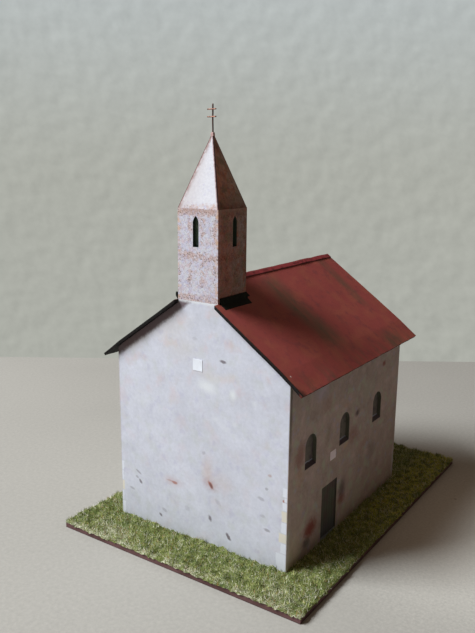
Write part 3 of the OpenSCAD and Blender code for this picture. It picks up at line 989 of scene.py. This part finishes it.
def soft_corners(name, picks, width):
    """Copy of a node's mesh whose picked edges are slightly rounded."""
    mesh = merged_copy(name)
    picked = [edge for edge in mesh.edges if len(edge.link_faces) == 2 and picks(edge)]
    sharp = [edge for edge in picked if edge.calc_face_angle() > 0.5]
    bmesh.ops.bevel(mesh, geom=sharp, offset=width * MM, segments=3, profile=0.5, affect="EDGES")
    return kept_mesh(mesh, name + "_soft")


def on_corner(edge):
    """True for the upright outer corners of the church."""
    places = [point.co / MM for point in edge.verts]
    return all(
        abs(abs(place.x - CHURCH_X) - HALF_W) < SAME_PLACE
        and min(abs(place.y - CHURCH_Y), abs(place.y - CHURCH_END)) < SAME_PLACE
        for place in places
    )


# ---- Static grass ----


def socket_names(tree):
    """Identifiers of a node group's inputs, by their names."""
    return {
        item.name: item.identifier
        for item in tree.interface.items_tree
        if item.item_type == "SOCKET" and item.in_out == "INPUT"
    }


def fibre_tree(material):
    """Geometry Nodes that stand bent fibres on a bed and keep the bed."""
    tree = bpy.data.node_groups.new("static_grass", "GeometryNodeTree")
    numbers = dict.fromkeys(("Density", "Length", "Width", "Bend", "Least Lean", "Most Lean"), "Float")
    for name, kind in {"Geometry": "Geometry", **numbers, "Seed": "Int"}.items():
        tree.interface.new_socket(name, in_out="INPUT", socket_type="NodeSocket" + kind)
    tree.interface.new_socket("Geometry", in_out="OUTPUT", socket_type="NodeSocketGeometry")

    def feed(socket, value):
        if isinstance(value, bpy.types.NodeSocket):
            tree.links.new(value, socket)
        else:
            socket.default_value = value

    def add(kind, *values, **named):
        """Adds a node. A name in small letters is a setting, and other names are inputs."""
        made = tree.nodes.new(kind)
        for name, value in named.items():
            if name.islower():
                setattr(made, name, value)
        for number, value in enumerate(values):
            feed(made.inputs[number], value)
        for name, value in named.items():
            if not name.islower():
                feed(made.inputs[name.replace("_", " ")], value)
        return made

    def math_node(how, first, second):
        return add("ShaderNodeMath", first, second, operation=how).outputs[0]

    def number_socket(sockets, name):
        return next(socket for socket in sockets if socket.name == name and socket.type == "VALUE")

    def chance(low, high, shift):
        """A random number for each fibre."""
        seed = math_node("ADD", given["Seed"], shift)
        made = add("FunctionNodeRandomValue", data_type="FLOAT", Seed=seed)
        feed(number_socket(made.inputs, "Min"), low)
        feed(number_socket(made.inputs, "Max"), high)
        return number_socket(made.outputs, "Value")

    given = add("NodeGroupInput").outputs
    bed = given["Geometry"]
    points = add(
        "GeometryNodeDistributePointsOnFaces", Mesh=bed, Density=given["Density"], Seed=given["Seed"]
    )
    fibre = add(
        "GeometryNodeMeshCone",
        fill_type="NONE",
        Vertices=3,
        Side_Segments=2,
        Radius_Top=0.0,
        Radius_Bottom=given["Width"],
        Depth=given["Length"],
    )
    place = add("GeometryNodeInputPosition").outputs[0]
    height = add("ShaderNodeSeparateXYZ", place).outputs[2]
    share = math_node("DIVIDE", height, given["Length"])
    over = math_node("MULTIPLY", math_node("MULTIPLY", share, share), given["Bend"])
    offset = add("ShaderNodeCombineXYZ", Y=over).outputs[0]
    bent = add("GeometryNodeSetPosition", Geometry=fibre.outputs["Mesh"], Offset=offset)
    lean = chance(given["Least Lean"], given["Most Lean"], 1.0)
    turn = add("ShaderNodeCombineXYZ", X=lean, Z=chance(0.0, math.tau, 2.0))
    grown = add(
        "GeometryNodeInstanceOnPoints",
        Points=points.outputs["Points"],
        Instance=bent.outputs["Geometry"],
        Rotation=turn.outputs[0],
        Scale=chance(0.4, 1.0, 3.0),
    )
    carried = grown.outputs["Instances"]
    for name, shift in (("tone", 4.0), ("kind", 5.0)):
        stored = {"data_type": "FLOAT", "domain": "INSTANCE"}
        kept = add("GeometryNodeStoreNamedAttribute", Geometry=carried, Name=name, **stored)
        feed(number_socket(kept.inputs, "Value"), chance(0.0, 1.0, shift))
        carried = kept.outputs["Geometry"]
    real = add("GeometryNodeRealizeInstances", Geometry=carried)
    painted = add("GeometryNodeSetMaterial", Geometry=real.outputs[0], Material=material)
    both = add("GeometryNodeJoinGeometry", bed)
    feed(both.inputs[0], painted.outputs[0])
    add("NodeGroupOutput", both.outputs[0])
    return tree


def flock_bed(name, side, lump_height, material):
    """Lumpy flock on one side's turf, which hangs a little over the board's edges."""
    low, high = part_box("turf_" + side)
    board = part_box("base_board")
    grid = 0.75 * MM
    columns, rows = (round((high[axis] - low[axis]) / grid) for axis in (0, 1))
    points = []
    for row in range(rows + 1):
        for column in range(columns + 1):
            x = low.x + (high.x - low.x) * column / columns
            y = low.y + (high.y - low.y) * row / rows
            place = Vector((x, y, 0)) / MM
            lump = 0.30 + 0.95 * ripple(place, 3.0) + 0.55 * ripple(place, 1.3, 5)
            point = Vector((x, y, high.z + max(lump, -0.3) * lump_height))
            for axis in (0, 1):
                for edge, way in zip(board, (-1, 1)):
                    if abs(point[axis] - edge[axis]) < SAME_PLACE * MM:
                        point[axis] += way * (0.15 + 0.95 * abs(ripple(place, 1.6, 8))) * MM
                        point.z = high.z - (0.1 + 1.3 * abs(ripple(place, 2.1, 11))) * MM
            points.append(point)
    wide = columns + 1
    starts = [row * wide + column for row in range(rows) for column in range(columns)]
    faces = [(start, start + 1, start + wide + 1, start + wide) for start in starts]
    mesh = bpy.data.meshes.new(name)
    mesh.from_pydata(points, [], faces)
    mesh.polygons.foreach_set("use_smooth", [True] * len(faces))
    mesh.materials.append(material)
    return mesh


def grow(name, tree, bed, values):
    """Stands fibres on a bed and returns both as a plain mesh."""
    holder = bpy.data.objects.new(name + "_holder", bed)
    bpy.context.scene.collection.objects.link(holder)
    modifier = holder.modifiers.new("grass", "NODES")
    modifier.node_group = tree
    names = socket_names(tree)
    for key, value in values.items():
        modifier[names[key]] = value
    bpy.context.view_layer.update()
    graph = bpy.context.evaluated_depsgraph_get()
    mesh = bpy.data.meshes.new_from_object(holder.evaluated_get(graph), depsgraph=graph)
    mesh.name = name
    holder.modifiers.clear()
    bpy.data.objects.remove(holder)
    return mesh


# ---- Operators ----


class CHURCH_OT_board(bpy.types.Operator):
    """Paint the base board"""

    bl_idname = "church.board"
    bl_label = "Base board"

    def execute(self, context):
        coat(board_paint("board_paint"), "base_board")
        return {"FINISHED"}


class CHURCH_OT_turf(bpy.types.Operator):
    """Lay the flock and stand the grass fibres on it"""

    bl_idname = "church.turf"
    bl_label = "Turf"

    def execute(self, context):
        turf = context.scene.church_turf
        bed_material = turf_bed("turf_bed", turf)
        coat(bed_material, "turf_front", "turf_back", "turf_left", "turf_right")
        tree = fibre_tree(turf_fibre("turf_fibre", turf))
        values = {
            "Density": turf.fibres_per_mm2 / MM**2,
            "Length": turf.fibre_length,
            "Width": turf.fibre_width / 2,
            "Bend": turf.fibre_bend,
            "Least Lean": turf.lean_least,
            "Most Lean": turf.lean_most,
        }
        for number, side in enumerate(("front", "back", "left", "right")):
            name = "grass_" + side
            bed = flock_bed(name + "_bed", side, turf.lump_height, bed_material)
            seed = turf.seed + 10 * number
            add_piece(name, grow(name, tree, bed, {**values, "Seed": seed}), None)
        return {"FINISHED"}


class CHURCH_OT_walls(bpy.types.Operator):
    """Print the plaster on the walls"""

    bl_idname = "church.walls"
    bl_label = "Walls"

    def execute(self, context):
        papers = context.scene.church_paper
        # Whether it is a side wall, its stains and its stones. The back and the left have fewer.
        marks = {
            "front": (False, FRONT_STAINS, FRONT_STONES),
            "back": (False, FRONT_STAINS[4:12], FRONT_STONES[9:17]),
            "left": (True, (), SIDE_STONES[5:]),
            "right": (True, (), SIDE_STONES),
        }
        for side, printed in marks.items():
            material = plaster("plaster_" + side, papers, *printed)
            name = side + "_wall"
            mesh = soft_corners(name, on_corner, width=0.16)
            stand_in(name, "_paper", mesh, material)
        return {"FINISHED"}


class CHURCH_OT_openings(bpy.types.Operator):
    """Darken the windows and print the door"""

    bl_idname = "church.openings"
    bl_label = "Windows and door"

    def execute(self, context):
        papers = context.scene.church_paper
        windows = [f"{side}_window_{number}" for side in ("left", "right") for number in (1, 2, 3)]
        coat(opening_card("window_card", papers), *windows)
        coat(lining_card("lancet_card"), "tower_lining")
        coat(door_paint("door_print"), "door_panel")
        coat(plain_paper("threshold_paper", (128, 138, 146), (96, 100, 104)), "door_threshold")
        return {"FINISHED"}


class CHURCH_OT_roof(bpy.types.Operator):
    """Paint the roof, its edges and its ridge"""

    bl_idname = "church.roof"
    bl_label = "Roof"

    def execute(self, context):
        roof = context.scene.church_roof
        paper, edge = roof_paint("roof_paint", roof), roof_edge("roof_edge", roof)
        for side in ("left", "right"):
            for layer, material in (("roof_paper", paper), ("roof_core", edge)):
                name = f"{layer}_{side}"
                stand_in(name, "_sheet", worked_copy(name, roof_ripple, step=1.6), material)
        mesh = worked_copy("ridge_strip", ridge_ripple, step=1.5, cut_axes="y")
        stand_in("ridge_strip", "_fold", mesh, ridge_paint("ridge_paint", roof))
        flashing = flashing_paint("flashing_paint", roof)
        coat(flashing, "flashing_right", "flashing_back")
        mesh = worked_copy("flashing_left", flashing_curl, step=0.8, cut_axes="yz")
        stand_in("flashing_left", "_curled", mesh, flashing)
        return {"FINISHED"}


class CHURCH_OT_tower(bpy.types.Operator):
    """Print the tower and the spire"""

    bl_idname = "church.tower"
    bl_label = "Tower and spire"

    def execute(self, context):
        papers = context.scene.church_paper
        # Name's ending, whether it is a side face, how brown with painted shade the wall and the spire
        # are, sides
        for ending, side_face, brown, spire_shade, sides in (
            ("", False, 0.85, 0.0, ("front", "back")),
            ("_left", True, 0.30, 0.25, ("left",)),
            ("_right", True, 0.95, 1.0, ("right",)),
        ):
            wall = tower_print("tower_print" + ending, papers, side_face, brown)
            coat(wall, *("tower_" + side for side in sides))
            spire = spire_print("spire_print" + ending, papers, side_face, spire_shade)
            coat(spire, *("spire_" + side for side in sides))
        tip = plain_paper("tip_paper", (196, 160, 154), (130, 84, 78))
        mesh = worked_copy("spire_tip", blunt_tip, step=0.4, cut_axes="xyz")
        stand_in("spire_tip", "_worn", mesh, tip)
        return {"FINISHED"}


class CHURCH_OT_cross(bpy.types.Operator):
    """Finish the wire cross"""

    bl_idname = "church.cross"
    bl_label = "Cross"

    def execute(self, context):
        # One wire in two tones: painted light on the arms, painted shade on the upright.
        dark = wire_metal("cross_wire", (96, 66, 58))
        bright = wire_metal("cross_arm_wire", (160, 110, 90))
        for name, material, rule in (
            ("cross_upright", dark, bent_upright),
            ("cross_arm_upper", bright, thin_arm),
            ("cross_arm_lower", bright, thin_arm),
        ):
            low, high = box(name)
            middle = (low + high) / 2
            bent = partial(rule, middle=middle)
            mesh = worked_copy(name, bent, step=0.5, cut_axes="xyz")
            mesh.polygons.foreach_set("use_smooth", [True] * len(mesh.polygons))
            stand_in(name, "_wire", mesh, material)
        return {"FINISHED"}


class CHURCH_OT_patches(bpy.types.Operator):
    """Finish the bare paper patches"""

    bl_idname = "church.patches"
    bl_label = "Paper patches"

    def execute(self, context):
        bare = context.scene.church_paper.bare
        front = plain_paper("bare_paper", bare, (214, 212, 214))
        # Painted light: the right patch is brighter and pinker than the same paper on the front, to look
        # lit in the shade.
        right = plain_paper("bare_paper_right", (255, 240, 246), (236, 220, 226))
        for side, outward, paper in (("front", (0, -1, 0), front), ("right", (1, 0, 0), right)):
            name = "paper_patch_" + side
            low, high = box(name)
            middle = (low + high) / 2
            bowed = partial(bow, middle=middle, outward=Vector(outward))
            mesh = worked_copy(name, bowed, step=0.5, cut_axes="xyz")
            stand_in(name, "_bowed", mesh, paper)
        return {"FINISHED"}


# The stage, in metres and radians
FLOOR_SIDE, FLOOR_NEAR, FLOOR_FAR = 1.2, 0.9, 0.208
LIGHT_SIZE, LIGHT_DISTANCE = 0.6, 1.4
LIGHT_TOWARD = Vector((-0.495, -0.505, 0.707))
LIGHT_AIM = Vector((0, 0, 0.06))
VIEW_PLACE = (0.1468, -0.2501, 0.1431)
VIEW_TURN, VIEW_TIP, VIEW_ROLL = (math.radians(angle) for angle in (34.1, 12.64, 0.61))
VIEW_LENS = 40.95  # millimetres, on a film 36 wide


class CHURCH_OT_stage(bpy.types.Operator):
    """Set up the floor, the light and the camera"""

    bl_idname = "church.stage"
    bl_label = "Stage"

    def execute(self, context):
        stage = context.scene.church_stage
        mesh = bpy.data.meshes.new("floor")
        corners = [
            (-FLOOR_SIDE, -FLOOR_NEAR, 0),
            (FLOOR_SIDE, -FLOOR_NEAR, 0),
            (FLOOR_SIDE, FLOOR_FAR, 0),
            (-FLOOR_SIDE, FLOOR_FAR, 0),
        ]
        mesh.from_pydata(corners, [], [(0, 1, 2, 3)])
        mesh.transform(Matrix.Rotation(VIEW_TURN, 4, "Z"))
        mesh.materials.append(floor_card("floor_card", stage))
        floor = bpy.data.objects.new("floor", mesh)
        context.scene.collection.objects.link(floor)
        context.scene.world = room("room", stage)

        light = bpy.data.lights.new("window_light", "AREA")
        light.shape = "RECTANGLE"
        light.size = light.size_y = LIGHT_SIZE
        light.energy = stage.key_power
        light.color = screen_colour(243, 249, 255)
        lamp = bpy.data.objects.new("window_light", light)
        toward = LIGHT_TOWARD.normalized()
        lamp.location = LIGHT_AIM + toward * LIGHT_DISTANCE
        lamp.rotation_euler = toward.to_track_quat("Z", "Y").to_euler()

        view = bpy.data.cameras.new("camera")
        view.sensor_width, view.lens = 36, VIEW_LENS
        view.clip_start = 0.01
        camera = bpy.data.objects.new("camera", view)
        camera.matrix_world = (
            Matrix.Translation(VIEW_PLACE)
            @ Matrix.Rotation(VIEW_TURN, 4, "Z")
            @ Matrix.Rotation(math.pi / 2 - VIEW_TIP, 4, "X")
            @ Matrix.Rotation(VIEW_ROLL, 4, "Z")
        )
        for made in (lamp, camera):
            context.scene.collection.objects.link(made)
        context.scene.camera = camera
        context.scene.view_settings.view_transform = "Standard"
        return {"FINISHED"}


class CHURCH_PT_panel(bpy.types.Panel):
    """Buttons for the pieces of the church"""

    bl_idname = "CHURCH_PT_panel"
    bl_label = "Card Church"
    bl_space_type = "VIEW_3D"
    bl_region_type = "UI"
    bl_category = "Card Church"

    def draw(self, context):
        for operator in OPERATORS:
            self.layout.operator(operator.bl_idname)
        for group in SETTINGS:
            values = getattr(context.scene, group)
            for name in values.__annotations__:
                self.layout.prop(values, name)


OPERATORS = (
    CHURCH_OT_board,
    CHURCH_OT_turf,
    CHURCH_OT_walls,
    CHURCH_OT_openings,
    CHURCH_OT_roof,
    CHURCH_OT_tower,
    CHURCH_OT_cross,
    CHURCH_OT_patches,
    CHURCH_OT_stage,
)
SETTINGS = {
    "church_turf": TurfSettings,
    "church_paper": PaperSettings,
    "church_roof": RoofSettings,
    "church_stage": StageSettings,
}


def register():
    for group in SETTINGS.values():
        bpy.utils.register_class(group)
    for operator in OPERATORS:
        bpy.utils.register_class(operator)
    bpy.utils.register_class(CHURCH_PT_panel)
    for name, group in SETTINGS.items():
        setattr(bpy.types.Scene, name, PointerProperty(type=group))


def unregister():
    for name in SETTINGS:
        delattr(bpy.types.Scene, name)
    bpy.utils.unregister_class(CHURCH_PT_panel)
    for operator in reversed(OPERATORS):
        bpy.utils.unregister_class(operator)
    for group in SETTINGS.values():
        bpy.utils.unregister_class(group)


def main():
    register()
    for operator in OPERATORS:
        group, name = operator.bl_idname.split(".")
        getattr(getattr(bpy.ops, group), name)()
    bpy.context.view_layer.update()


if __name__ == "__main__":
    main()
